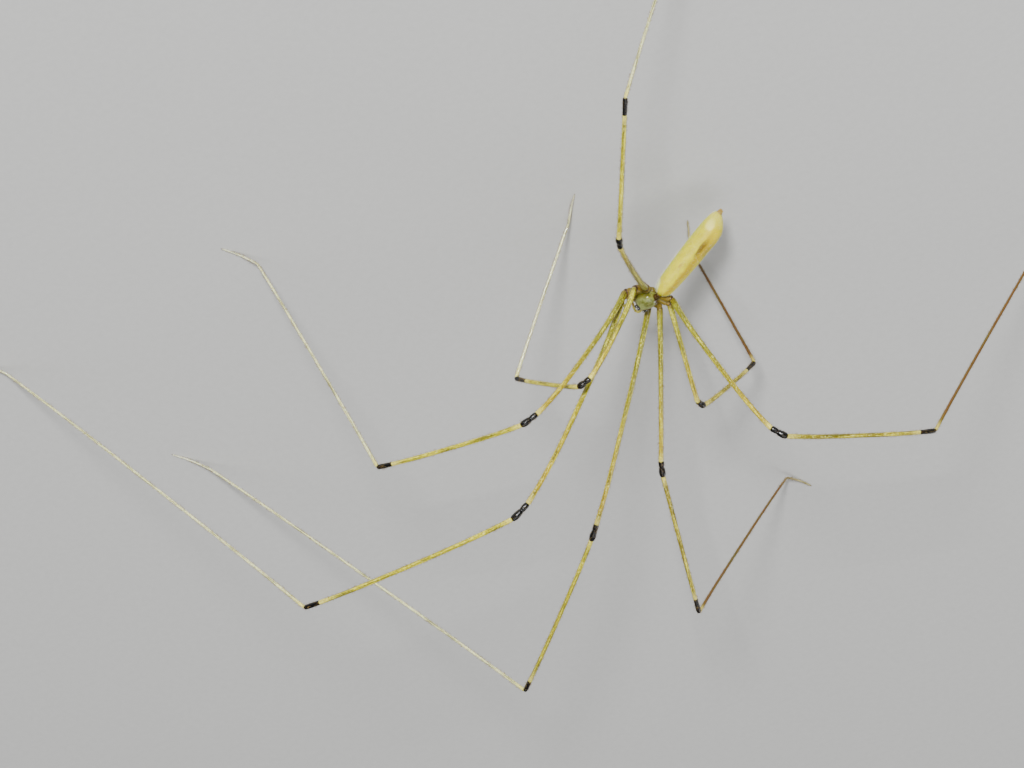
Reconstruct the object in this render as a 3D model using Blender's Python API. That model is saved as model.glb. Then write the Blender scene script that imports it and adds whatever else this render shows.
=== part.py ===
"""A long-bodied cellar spider at life size, standing on a level floor with its eight legs spread.

Units are metres. +Z is up and +X is the way the spider faces. The origin lies on the floor,
under the middle of the box that the whole animal fills.
"""
import math

import bmesh
import bpy
import numpy as np
from mathutils import Euler

MM = 0.001

# The gap left where one piece meets the next
GAP = 0.10 * MM

# Prosoma, the front part of the body: its middle stands over the point (0, 0) of the stance,
# with the head bent down, turned a little to its left, and rolled a little
BODY_HEIGHT = 4.75 * MM
BODY_PITCH = 17.0
BODY_YAW = 9.0
BODY_ROLL = -5.0
CARAPACE_LENGTH = 1.36 * MM
CARAPACE_WIDTH = 1.20 * MM
CARAPACE_FORWARD = 0.08 * MM
CARAPACE_UNDERSIDE = -0.03 * MM
CARAPACE_RIM = 0.02 * MM
CARAPACE_DOME = 0.42 * MM
HEAD_RISE = 0.13 * MM
HEAD_FORWARD = 0.46 * MM
HEAD_WIDTH = 0.34 * MM
STERNUM_LENGTH = 1.16 * MM
STERNUM_WIDTH = 1.06 * MM
STERNUM_THICKNESS = 0.44 * MM
STERNUM_DROP = 0.38 * MM

# The point under the middle of the prosoma from which the eight coxae spread
COXA_HUB_DROP = 0.45 * MM

# Ring of leg roots round the sternum
ROOT_REACH = 1.30 * MM
ROOT_SPREAD = 1.42 * MM
ROOT_DROP = 0.09 * MM
ROOT_ANGLE = {1: 44.5, 2: 71.5, 3: 106.0, 4: 134.0}

# Eyes: a cluster of three on each side of the head and a small middle pair
CLUSTER_RADIUS = 0.17 * MM
CLUSTER_SIDE = 0.25 * MM
CLUSTER_FORWARD = 0.46 * MM
EYE_SPACING = 0.088 * MM
EYE_RADIUS = 0.072 * MM
EYE_GAP = 0.07 * MM
MIDDLE_EYES_FORWARD = 0.655 * MM
MIDDLE_EYE_SIDE = 0.04 * MM
MIDDLE_EYE_RADIUS = 0.032 * MM

# Abdomen, long and nearly cylindrical, sloping back and down from the pedicel. Its start is given
# from the middle of the prosoma. The profile gives, at shares of its length, how far its back and
# its belly stand above the axis and how wide it is to each side.
ABDOMEN_LENGTH = 5.50 * MM
ABDOMEN_START = (-0.87 * MM, -0.10 * MM, 0.21 * MM)
ABDOMEN_HEADING = 182.0
ABDOMEN_PITCH = -29.6
ABDOMEN_PROFILE = {
    "share": (0.0, 0.02, 0.06, 0.12, 0.25, 0.43, 0.62, 0.80, 0.86, 0.92, 0.97, 1.0),
    "back": (0.14, 0.32, 0.46, 0.52, 0.58, 0.63, 0.65, 0.66, 0.60, 0.37, 0.08, -0.12),
    "belly": (-0.20, -0.33, -0.45, -0.51, -0.57, -0.62, -0.65, -0.66, -0.66, -0.65, -0.62, -0.56),
    "side": (0.17, 0.32, 0.46, 0.53, 0.59, 0.64, 0.66, 0.65, 0.61, 0.50, 0.34, 0.22),
}
ABDOMEN_RINGS = 17
PEDICEL_RADIUS = 0.11 * MM
PEDICEL_START = (-0.70 * MM, 0.0, 0.04 * MM)

# Leg lengths for the pairs 1 to 4, from the front: femur, patella, tibia, metatarsus, tarsus
LEG_LENGTHS = {
    1: (13.60, 1.20, 13.85, 22.50, 2.50),
    2: (9.95, 1.05, 9.67, 13.30, 2.20),
    3: (6.50, 0.80, 5.93, 9.04, 2.05),
    4: (9.55, 1.00, 9.33, 14.60, 2.10),
}

# The stance in degrees: heading from +X towards +Y and rise above level of the femur and tibia,
# then the headings of the metatarsus and the tarsus, which come down to the floor
STANCE = {
    "right_1": {"femur": (-15.0, 60.0), "tibia": (-3.5, -3.0), "metatarsus": -47.7, "tarsus": -63.5},
    "right_2": {"femur": (-40.5, 56.0), "tibia": (-2.5, -12.0), "metatarsus": -78.4, "tarsus": -66.0},
    "right_3": {"femur": (-30.5, 62.5), "tibia": (11.0, -38.0), "metatarsus": -163.4, "tarsus": -138.0},
    "right_4": {"femur": (-115.0, 25.0), "tibia": (-130.0, -10.0), "metatarsus": -150.0, "tarsus": -155.0},
    "left_1": {"femur": (36.5, 25.5), "tibia": (36.0, 3.5), "metatarsus": -65.4, "tarsus": -66.0},
    "left_2": {"femur": (51.5, 21.5), "tibia": (64.5, 19.5), "metatarsus": 119.5, "tarsus": 99.0},
    "left_3": {"femur": (66.0, 21.5), "tibia": (111.5, -48.0), "metatarsus": -103.2, "tarsus": -123.5},
    "left_4": {"femur": (124.5, 60.0), "tibia": (122.5, -12.5), "metatarsus": 172.0, "tarsus": 177.0},
}

# Upward bow of each segment as a share of its length
BOW = {"femur": 0.028, "patella": 0.0, "tibia": 0.015, "metatarsus": -0.006}

# Leg thickness as radii at the start, middle and end of each segment
LEG_RADII = {
    "femur": (0.25 * MM, 0.25 * MM, 0.25 * MM),
    "patella": (0.26 * MM, 0.27 * MM, 0.26 * MM),
    "tibia": (0.25 * MM, 0.25 * MM, 0.26 * MM),
    "metatarsus": (0.25 * MM, 0.25 * MM, 0.25 * MM),
    "tarsus": (0.25 * MM, 0.20 * MM, 0.15 * MM),
}
ANKLE_HEIGHT = 0.42 * MM
TOE_HEIGHT = 0.12 * MM
LEG_SIDES = 10

COLOURS = {
    "shell": ((0.36, 0.38, 0.20), 0.45),
    "flesh": ((0.56, 0.50, 0.16), 0.40),
    "amber": ((0.45, 0.29, 0.05), 0.40),
    "leg": ((0.52, 0.40, 0.08), 0.38),
    "pale": ((0.58, 0.50, 0.26), 0.42),
    "black": ((0.010, 0.009, 0.008), 0.15),
}


def clear_scene():
    for item in list(bpy.data.objects):
        bpy.data.objects.remove(item, do_unlink=True)


def material(name):
    """A plain shader in one of the animal's colours."""
    found = bpy.data.materials.get(name)
    if found:
        return found
    colour, roughness = COLOURS[name]
    made = bpy.data.materials.new(name)
    made.use_nodes = True
    shader = made.node_tree.nodes["Principled BSDF"]
    shader.inputs["Base Color"].default_value = (*colour, 1.0)
    shader.inputs["Roughness"].default_value = roughness
    return made


def node(name, verts, faces, colour):
    """Make a node's object from its points and faces."""
    mesh = bpy.data.meshes.new(name)
    mesh.from_pydata([tuple(v) for v in verts], [], faces)
    shape = bmesh.new()
    shape.from_mesh(mesh)
    bmesh.ops.triangulate(shape, faces=[f for f in shape.faces if len(f.verts) > 4])
    bmesh.ops.recalc_face_normals(shape, faces=shape.faces)
    shape.to_mesh(mesh)
    shape.free()
    mesh.shade_smooth()
    mesh.set_sharp_from_angle(angle=math.radians(50))
    mesh.materials.append(material(colour))
    made = bpy.data.objects.new(name, mesh)
    bpy.context.scene.collection.objects.link(made)
    return made


def direction(heading, rise):
    """The unit vector at a heading and a rise above level, in degrees."""
    h, r = math.radians(heading), math.radians(rise)
    return np.array([math.cos(h) * math.cos(r), math.sin(h) * math.cos(r), math.sin(r)])


def unit(vector):
    return vector / np.linalg.norm(vector)


def turned(points):
    """Points of the prosoma's own axes, rolled, pitched and yawed into the stance and set at its height."""
    roll, pitch, yaw = (math.radians(a) for a in (BODY_ROLL, BODY_PITCH, BODY_YAW))
    turn = Euler((roll, pitch, yaw), "XYZ").to_matrix()
    return np.asarray(points) @ np.array(turn).T + (0.0, 0.0, BODY_HEIGHT)


def body_point(x, y, z):
    """A point given in the prosoma's own axes, from its middle."""
    return turned([x, y, z])


def ring_faces(rings, sides):
    """Quads between neighbouring rings and one cap at each end."""
    faces = []
    for r in range(rings - 1):
        for s in range(sides):
            a, b = r * sides + s, r * sides + (s + 1) % sides
            faces.append((a, b, b + sides, a + sides))
    faces.append(tuple(range(sides))[::-1])
    last = (rings - 1) * sides
    faces.append(tuple(last + s for s in range(sides)))
    return faces


def tube_verts(path, radii, start_plane, end_plane, sides=LEG_SIDES):
    """Rings along a path. The first and last are slid along the tube into the planes given."""
    tangents = np.gradient(path, axis=0)
    side = unit(np.cross(tangents[len(path) // 2], (0.0, 0.0, 1.0)))
    turn = np.linspace(0.0, 2 * math.pi, sides, endpoint=False) + math.pi / sides
    verts = []
    for k, (centre, tangent) in enumerate(zip(path, tangents)):
        along = unit(tangent)
        across = unit(side - along * np.dot(side, along))
        up = np.cross(across, along)
        ring = centre + radii[k] * (np.outer(np.cos(turn), across) + np.outer(np.sin(turn), up))
        plane = start_plane if k == 0 else end_plane if k == len(path) - 1 else None
        if plane:
            point, normal = plane
            ring = ring + np.outer((point - ring) @ normal / np.dot(along, normal), along)
        verts.append(ring)
    return np.concatenate(verts)


def bowed_path(start, end, bow, samples):
    """A nearly straight run that bends most near its two ends, bowed upwards."""
    t = np.linspace(0.0, 1.0, samples)
    run = end - start
    across = np.cross(run, (0.0, 0.0, 1.0))
    up = unit(np.cross(across, run))
    rise = bow * np.linalg.norm(run) * (1.0 - np.abs(2 * t - 1) ** 3)
    return start + np.outer(t, run) + np.outer(rise, up)


def root_of(side, pair):
    """Where a leg leaves the ring of roots round the sternum."""
    angle = math.radians(ROOT_ANGLE[pair])
    return body_point(ROOT_REACH * math.cos(angle), side * ROOT_SPREAD * math.sin(angle), -ROOT_DROP)


def settled_path(start, end, samples):
    """A run whose height eases out, so that its last stretch lies along the floor."""
    t = np.linspace(0.0, 1.0, samples)
    path = start + np.outer(t, end - start)
    path[:, 2] = end[2] + (start[2] - end[2]) * (1.0 - t) ** 2
    return path


def lowered(start, length, heading, height):
    """The end of a segment of this length and heading that comes down to a height."""
    drop = start[2] - height
    reach = math.sqrt(length ** 2 - drop ** 2)
    return start + np.array([reach * math.cos(math.radians(heading)),
                             reach * math.sin(math.radians(heading)), -drop])


def leg_joints(side, pair, stance):
    """The six joint points of a leg, from its root to the tip of its tarsus."""
    femur, patella, tibia, metatarsus, tarsus = (n * MM for n in LEG_LENGTHS[pair])
    thigh, shin = direction(*stance["femur"]), direction(*stance["tibia"])
    points = [root_of(side, pair)]
    points.append(points[-1] + femur * thigh)
    points.append(points[-1] + patella * unit(thigh + shin))
    points.append(points[-1] + tibia * shin)
    points.append(lowered(points[-1], metatarsus, stance["metatarsus"], ANKLE_HEIGHT))
    points.append(lowered(points[-1], tarsus, stance["tarsus"], TOE_HEIGHT))
    return points


def make_leg(name, stance):
    """Five tubes that meet at mitred faces, the last one flat where it stands on the floor."""
    side = 1 if name.startswith("left") else -1
    pair = int(name[-1])
    joints = leg_joints(side, pair, stance)
    names = ("femur", "patella", "tibia", "metatarsus", "tarsus")
    samples = {"femur": 11, "patella": 3, "tibia": 9, "metatarsus": 9, "tarsus": 6}
    paths = [bowed_path(joints[i], joints[i + 1], BOW[part], samples[part])
             for i, part in enumerate(names[:4])]
    paths.append(settled_path(joints[4], joints[5], samples["tarsus"]))
    root_out = unit(joints[0] - body_point(0.0, 0.0, -COXA_HUB_DROP))
    starts = [unit(path[1] - path[0]) for path in paths]
    ends = [unit(path[-1] - path[-2]) for path in paths]
    before = [root_out] + ends[:-1]
    for i, part in enumerate(names):
        start_normal = unit(before[i] + starts[i])
        start_plane = (joints[i] + start_normal * GAP / 2, start_normal)
        end_plane = None
        if i < 4:
            end_normal = unit(ends[i] + starts[i + 1])
            end_plane = (joints[i + 1] - end_normal * GAP / 2, end_normal)
        first, middle, last = LEG_RADII[part]
        radii = np.interp(np.linspace(0, 1, samples[part]), (0.0, 0.5, 1.0), (first, middle, last))
        verts = tube_verts(paths[i], radii, start_plane, end_plane)
        if part == "tarsus":
            verts[:, 2] = np.maximum(verts[:, 2], 0.0)
        colour = {"patella": "black", "metatarsus": "pale", "tarsus": "pale"}.get(part, "leg")
        node(f"{name}_{part}", verts, ring_faces(samples[part], LEG_SIDES), colour)


def carapace_top(x, y):
    """Height of the carapace's upper surface: a low dome with the head raised at its front."""
    across = (x - CARAPACE_FORWARD) / (CARAPACE_LENGTH / 2)
    away = np.minimum(np.sqrt(across ** 2 + (y / (CARAPACE_WIDTH / 2)) ** 2), 1.0)
    dome = CARAPACE_DOME * np.sqrt(1.0 - away ** 2.6)
    head = np.exp(-((x - HEAD_FORWARD) / HEAD_WIDTH) ** 2 - (y / (1.15 * HEAD_WIDTH)) ** 2)
    return CARAPACE_RIM + dome + HEAD_RISE * head * (1.0 - away ** 4)


def disc_body(name, centre, radii, top, bottom, colour, rings=8, sides=28):
    """A closed part of the prosoma between two height functions over a round or oval outline."""
    turn = np.linspace(0.0, 2 * math.pi, sides, endpoint=False)
    share = np.sin(np.linspace(0.0, math.pi / 2, rings + 1)[1:])
    x = centre[0] + radii[0] * np.outer(share, np.cos(turn)).ravel()
    y = centre[1] + radii[1] * np.outer(share, np.sin(turn)).ravel()
    above = np.stack([x, y, top(x, y)], axis=1)
    below = np.stack([x, y, bottom(x, y)], axis=1)
    crown = np.array([centre[0], centre[1], 0.0])
    high = crown + (0.0, 0.0, float(top(*centre)))
    low = crown + (0.0, 0.0, float(bottom(*centre)))
    verts = turned(np.concatenate([above, below, [high, low]]))
    count = rings * sides
    faces = []
    for r in range(rings - 1):
        for s in range(sides):
            a, b = r * sides + s, r * sides + (s + 1) % sides
            faces.append((a, a + sides, b + sides, b))
            faces.append((count + a, count + b, count + b + sides, count + a + sides))
    for s in range(sides):
        a, b = s, (s + 1) % sides
        faces.append((2 * count, a, b))
        faces.append((2 * count + 1, count + b, count + a))
        edge, after = (rings - 1) * sides + a, (rings - 1) * sides + b
        faces.append((edge, count + edge, count + after, after))
    return node(name, verts, faces, colour)


def make_carapace():
    def underside(x, y):
        return np.full_like(x, CARAPACE_UNDERSIDE)

    radii = (CARAPACE_LENGTH / 2, CARAPACE_WIDTH / 2)
    disc_body("carapace", (CARAPACE_FORWARD, 0.0), radii, carapace_top, underside, "shell")


def raised(x, y, height):
    """A height function that keeps a distance from the carapace's upper surface, also on its slopes."""
    step = 0.01 * MM
    slope_x = (carapace_top(x + step, y) - carapace_top(x - step, y)) / (2 * step)
    slope_y = (carapace_top(x, y + step) - carapace_top(x, y - step)) / (2 * step)
    return carapace_top(x, y) + height * np.sqrt(1.0 + slope_x ** 2 + slope_y ** 2)


def make_eyes():
    """Low mounds that follow the carapace, each with its lenses raised as small domes."""
    def seat(x, y):
        return raised(x, y, EYE_GAP)

    def mound(centre, radii, height, lenses, lens):
        def top(x, y):
            away = np.minimum(np.hypot((x - centre[0]) / radii[0], (y - centre[1]) / radii[1]), 1.0)
            rise = EYE_GAP + 0.03 * MM + height * (1.0 - away ** 2)
            for lx, ly in lenses:
                near = np.hypot(x - centre[0] - lx, y - centre[1] - ly) / lens
                rise = rise + 0.9 * lens * np.sqrt(np.maximum(1.0 - near ** 2, 0.0))
            return raised(x, y, rise)
        return top

    for name, side in (("left", 1), ("right", -1)):
        centre = (CLUSTER_FORWARD, side * CLUSTER_SIDE)
        radii = (CLUSTER_RADIUS, CLUSTER_RADIUS)
        lenses = [(EYE_SPACING * math.cos(a), side * EYE_SPACING * math.sin(a))
                  for a in (math.radians(10), math.radians(130), math.radians(250))]
        disc_body(f"eyes_{name}", centre, radii, mound(centre, radii, 0.07 * MM, lenses, EYE_RADIUS),
                  seat, "black", rings=7, sides=24)
    centre, radii = (MIDDLE_EYES_FORWARD, 0.0), (0.05 * MM, 0.08 * MM)
    lenses = [(0.0, -MIDDLE_EYE_SIDE), (0.0, MIDDLE_EYE_SIDE)]
    disc_body("eyes_middle", centre, radii, mound(centre, radii, 0.02 * MM, lenses, MIDDLE_EYE_RADIUS),
              seat, "black", rings=5, sides=20)


def join(name, pieces, colour):
    """Fuse closed pieces into one body and keep its largest closed surface."""
    group = bpy.data.collections.new(name + "_pieces")
    bpy.context.scene.collection.children.link(group)
    base, *others = pieces
    for other in others:
        bpy.context.scene.collection.objects.unlink(other)
        group.objects.link(other)
    union = base.modifiers.new("union", "BOOLEAN")
    union.operation = "UNION"
    union.operand_type = "COLLECTION"
    union.collection = group
    union.solver = "EXACT"
    bpy.context.view_layer.objects.active = base
    bpy.ops.object.modifier_apply(modifier=union.name)
    for other in others:
        bpy.data.objects.remove(other, do_unlink=True)
    bpy.data.collections.remove(group)
    keep_largest(base.data)
    base.name = name
    base.data.materials.clear()
    base.data.materials.append(material(colour))
    return base


def keep_largest(mesh):
    """Drop all but the largest closed surface of a mesh."""
    shape = bmesh.new()
    shape.from_mesh(mesh)
    unseen = set(shape.verts)
    parts = []
    while unseen:
        stack = [unseen.pop()]
        part = set(stack)
        while stack:
            for edge in stack.pop().link_edges:
                for vert in edge.verts:
                    if vert in unseen:
                        unseen.discard(vert)
                        part.add(vert)
                        stack.append(vert)
        parts.append(part)
    largest = max(parts, key=len)
    bmesh.ops.delete(shape, geom=[v for v in shape.verts if v not in largest], context="VERTS")
    shape.to_mesh(mesh)
    shape.free()


def make_sternum():
    """The plate under the prosoma with the eight coxae fused round it, one to each leg."""
    middle = body_point(0.0, 0.0, -COXA_HUB_DROP)
    half = STERNUM_THICKNESS / 2

    def upper(x, y):
        away = np.minimum(np.hypot(x / (STERNUM_LENGTH / 2), y / (STERNUM_WIDTH / 2)), 1.0)
        return -STERNUM_DROP + half * (0.4 + 0.6 * np.sqrt(1.0 - away ** 2))

    def lower(x, y):
        return -2 * STERNUM_DROP - upper(x, y)

    pieces = [disc_body("plate", (0.0, 0.0), (STERNUM_LENGTH / 2, STERNUM_WIDTH / 2), upper, lower,
                        "amber", rings=6, sides=26)]
    for name, stance in STANCE.items():
        side = 1 if name.startswith("left") else -1
        pair = int(name[-1])
        root = root_of(side, pair)
        femur = bowed_path(root, leg_joints(side, pair, stance)[1], BOW["femur"], 11)
        outward = unit(root - middle)
        normal = unit(outward + unit(femur[1] - femur[0]))
        start = middle + 0.30 * MM * outward
        path = np.linspace(start, root, 5)
        radii = np.array([0.12, 0.14, 0.17, 0.21, 0.24]) * MM
        verts = tube_verts(path, radii, (start, outward), (root - normal * GAP / 2, normal))
        pieces.append(node("coxa_" + name, verts, ring_faces(5, LEG_SIDES), "amber"))
    join("sternum", pieces, "amber")


def tapered(name, points, radii, colour, sides=12):
    """A tube through a few points, closed by a small cap at each end."""
    path = turned(points)
    node(name, tube_verts(path, np.array(radii), None, None, sides), ring_faces(len(path), sides), colour)


def make_mouthparts():
    """Jaws and palps in front of the face, held forward as when the animal grips with them."""
    for name, side in (("left", 1), ("right", -1)):
        jaw = [(0.79 * MM, side * 0.165 * MM, -0.12 * MM), (0.84 * MM, side * 0.17 * MM, -0.20 * MM),
               (0.93 * MM, side * 0.16 * MM, -0.34 * MM), (1.00 * MM, side * 0.13 * MM, -0.48 * MM),
               (1.04 * MM, side * 0.10 * MM, -0.58 * MM)]
        tapered(f"chelicera_{name}", jaw, [0.07 * MM, 0.13 * MM, 0.13 * MM, 0.10 * MM, 0.04 * MM], "amber")
        palp = [(0.88 * MM, side * 0.46 * MM, 0.07 * MM), (1.03 * MM, side * 0.52 * MM, 0.17 * MM),
                (1.22 * MM, side * 0.53 * MM, 0.22 * MM), (1.40 * MM, side * 0.49 * MM, 0.16 * MM),
                (1.50 * MM, side * 0.43 * MM, -0.02 * MM), (1.54 * MM, side * 0.37 * MM, -0.24 * MM),
                (1.54 * MM, side * 0.33 * MM, -0.40 * MM)]
        widths = [0.12 * MM, 0.15 * MM, 0.15 * MM, 0.15 * MM, 0.14 * MM, 0.11 * MM, 0.05 * MM]
        tapered(f"palp_{name}", palp, widths, "leg")


def abdomen_axes():
    """Start, direction, side and upward direction of the abdomen."""
    along = direction(ABDOMEN_HEADING, ABDOMEN_PITCH)
    across = unit(np.cross((0.0, 0.0, 1.0), along))
    up = np.cross(along, across)
    return np.array(ABDOMEN_START) + (0.0, 0.0, BODY_HEIGHT), along, across, up


def make_abdomen():
    """Oval rings between the profile's back and belly, closer together at the two rounded ends."""
    start, along, across, up = abdomen_axes()
    share = (1.0 - np.cos(np.linspace(0.0, math.pi, ABDOMEN_RINGS))) / 2
    stations = ABDOMEN_PROFILE["share"]
    back, belly, side = (MM * np.interp(share, stations, ABDOMEN_PROFILE[k]) for k in ("back", "belly", "side"))
    turn = np.linspace(0.0, 2 * math.pi, 22, endpoint=False)
    centres = start + np.outer(ABDOMEN_LENGTH * share, along) + np.outer((back + belly) / 2, up)
    rings = (centres[:, None] + np.multiply.outer(np.outer(side, np.cos(turn)), across)
             + np.multiply.outer(np.outer((back - belly) / 2, np.sin(turn)), up))
    node("abdomen", rings.reshape(-1, 3), ring_faces(len(share), len(turn)), "flesh")


def make_spinnerets():
    """A short base with six small spinning organs fused to it, below the tip of the abdomen."""
    start, along, across, up = abdomen_axes()
    middle = (ABDOMEN_PROFILE["back"][-1] + ABDOMEN_PROFILE["belly"][-1]) / 2 * MM
    tip = start + (ABDOMEN_LENGTH + GAP) * along + middle * up
    path = np.array([tip, tip + 0.06 * MM * along, tip + 0.12 * MM * along])
    radii = np.array([0.16, 0.16, 0.12]) * MM
    pieces = [node("tail_base", tube_verts(path, radii, None, None, 14), ring_faces(3, 14), "pale")]
    for row, size in ((-0.09, 0.045), (0.0, 0.04), (0.08, 0.055)):
        for side in (-1, 1):
            foot = tip + 0.05 * MM * along + row * MM * up + side * 0.065 * MM * across
            ends = np.array([foot, foot + 0.12 * MM * along, foot + 0.20 * MM * along])
            widths = np.array([size, 0.9 * size, 0.5 * size]) * MM
            cone = tube_verts(ends, widths, None, None, 8)
            pieces.append(node(f"cone_{row}_{side}", cone, ring_faces(3, 8), "pale"))
    join("spinnerets", pieces, "pale")


def make_pedicel():
    """The narrow waist, bent where it passes from the raised rear of the carapace to the abdomen."""
    middle, along, _, up = abdomen_axes()
    backward = body_point(-1.0, 0.0, 0.0) - body_point(0.0, 0.0, 0.0)
    start, end = body_point(*PEDICEL_START), middle - GAP * along - 0.03 * MM * up
    reach = np.linalg.norm(end - start) / 3
    t = np.linspace(0.0, 1.0, 5)[:, None]
    path = ((1 - t) ** 3 * start + 3 * (1 - t) ** 2 * t * (start + reach * backward)
            + 3 * (1 - t) * t ** 2 * (end - reach * along) + t ** 3 * end)
    verts = tube_verts(path, np.full(5, PEDICEL_RADIUS), (start, backward), (end, along))
    node("pedicel", verts, ring_faces(5, LEG_SIDES), "shell")


def centre_on_floor():
    """Move every node so that the origin lies on the floor under the middle of the whole box."""
    shapes = [item for item in bpy.data.objects if item.type == "MESH"]
    points = np.concatenate([[v.co[:] for v in item.data.vertices] for item in shapes])
    middle = (points.min(axis=0) + points.max(axis=0)) / 2
    for item in shapes:
        for vert in item.data.vertices:
            vert.co.x -= middle[0]
            vert.co.y -= middle[1]


clear_scene()
make_carapace()
make_sternum()
make_eyes()
make_mouthparts()
make_pedicel()
make_abdomen()
make_spinnerets()
for leg_name, leg_stance in STANCE.items():
    make_leg(leg_name, leg_stance)
centre_on_floor()
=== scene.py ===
"""A long-bodied cellar spider at life size, standing on a pale floor with its eight legs spread.

Units are metres, +Z is up and +X is the way the spider faces. Sizes are written in millimetres
and turned into metres where a surface is made.
"""
import math

import bpy
import numpy as np
from mathutils import Euler, Matrix, Vector


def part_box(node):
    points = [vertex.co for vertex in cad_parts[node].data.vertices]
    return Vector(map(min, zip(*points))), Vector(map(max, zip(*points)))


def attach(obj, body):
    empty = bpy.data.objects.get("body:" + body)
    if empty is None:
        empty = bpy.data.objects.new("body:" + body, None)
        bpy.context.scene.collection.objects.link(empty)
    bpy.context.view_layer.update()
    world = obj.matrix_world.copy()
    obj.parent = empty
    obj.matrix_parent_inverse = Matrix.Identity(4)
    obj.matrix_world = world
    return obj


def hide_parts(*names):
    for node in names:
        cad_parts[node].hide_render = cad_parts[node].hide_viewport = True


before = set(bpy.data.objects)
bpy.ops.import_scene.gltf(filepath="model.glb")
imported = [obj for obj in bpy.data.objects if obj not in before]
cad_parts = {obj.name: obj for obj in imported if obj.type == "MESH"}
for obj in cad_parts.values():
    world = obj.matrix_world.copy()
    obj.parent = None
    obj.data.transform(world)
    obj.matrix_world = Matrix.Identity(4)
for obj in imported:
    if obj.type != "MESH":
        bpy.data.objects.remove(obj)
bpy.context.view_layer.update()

# Carapace: the stiff domed plate over the front of the body. It is one sheet of thin cuticle that
# light passes into, with the head raised at its front and a rolled rim that the soft wall below
# is joined to.
MM = 0.001
scene = bpy.context.scene
BODY_TURN = np.array(Euler([math.radians(turn) for turn in (-5.0, 17.0, 9.0)], "XYZ").to_matrix())
CARAPACE_BOX_TO_MIDDLE = np.array([-0.0814, -0.0118, -0.1038])
carapace_low, carapace_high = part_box("carapace")
BODY_MIDDLE = np.array((carapace_low + carapace_high) / 2) / MM + CARAPACE_BOX_TO_MIDDLE
CARAPACE_HALF = (0.68, 0.60)
CARAPACE_FORWARD = 0.08
CARAPACE_RIM = 0.02
CARAPACE_DOME = 0.42
CARAPACE_SKIRT = 0.10
CARAPACE_MARK_HEIGHT = 0.4
RIM_ROLL = 0.02
HEAD_RISE = 0.13
HEAD_FORWARD = 0.46
HEAD_WIDTH = 0.34
FURROW_DEPTH = 0.008
PIT_DEPTH = 0.012
RAY_DEPTH = 0.003


class Reading:
    """A shader socket that takes part in arithmetic. Each operator adds one Math node."""

    def __init__(self, finish, socket):
        self.finish = finish
        self.socket = socket

    def worked(self, operation, *values):
        return self.finish.add("ShaderNodeMath", {"operation": operation}, dict(enumerate(values)))

    def __add__(self, other):
        return self.worked("ADD", self, other)

    def __sub__(self, other):
        return self.worked("SUBTRACT", self, other)

    def __rsub__(self, other):
        return self.worked("SUBTRACT", other, self)

    def __mul__(self, other):
        return self.worked("MULTIPLY", self, other)

    def __pow__(self, other):
        return self.worked("POWER", self, other)

    def __abs__(self):
        return self.worked("ABSOLUTE", self)

    def rise(self, low, high):
        """0 below low, 1 above high and smooth between them. A low above high turns it round."""
        return self.finish.add("ShaderNodeMapRange", {"interpolation_type": "SMOOTHSTEP"},
                               {0: self, 1: low, 2: high, 3: 0.0, 4: 1.0})

    def spot(self, other):
        """1 in the middle of a soft oval that ends where the two readings make a unit circle."""
        return (self * self + other * other).rise(1.0, 0.25)


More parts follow.
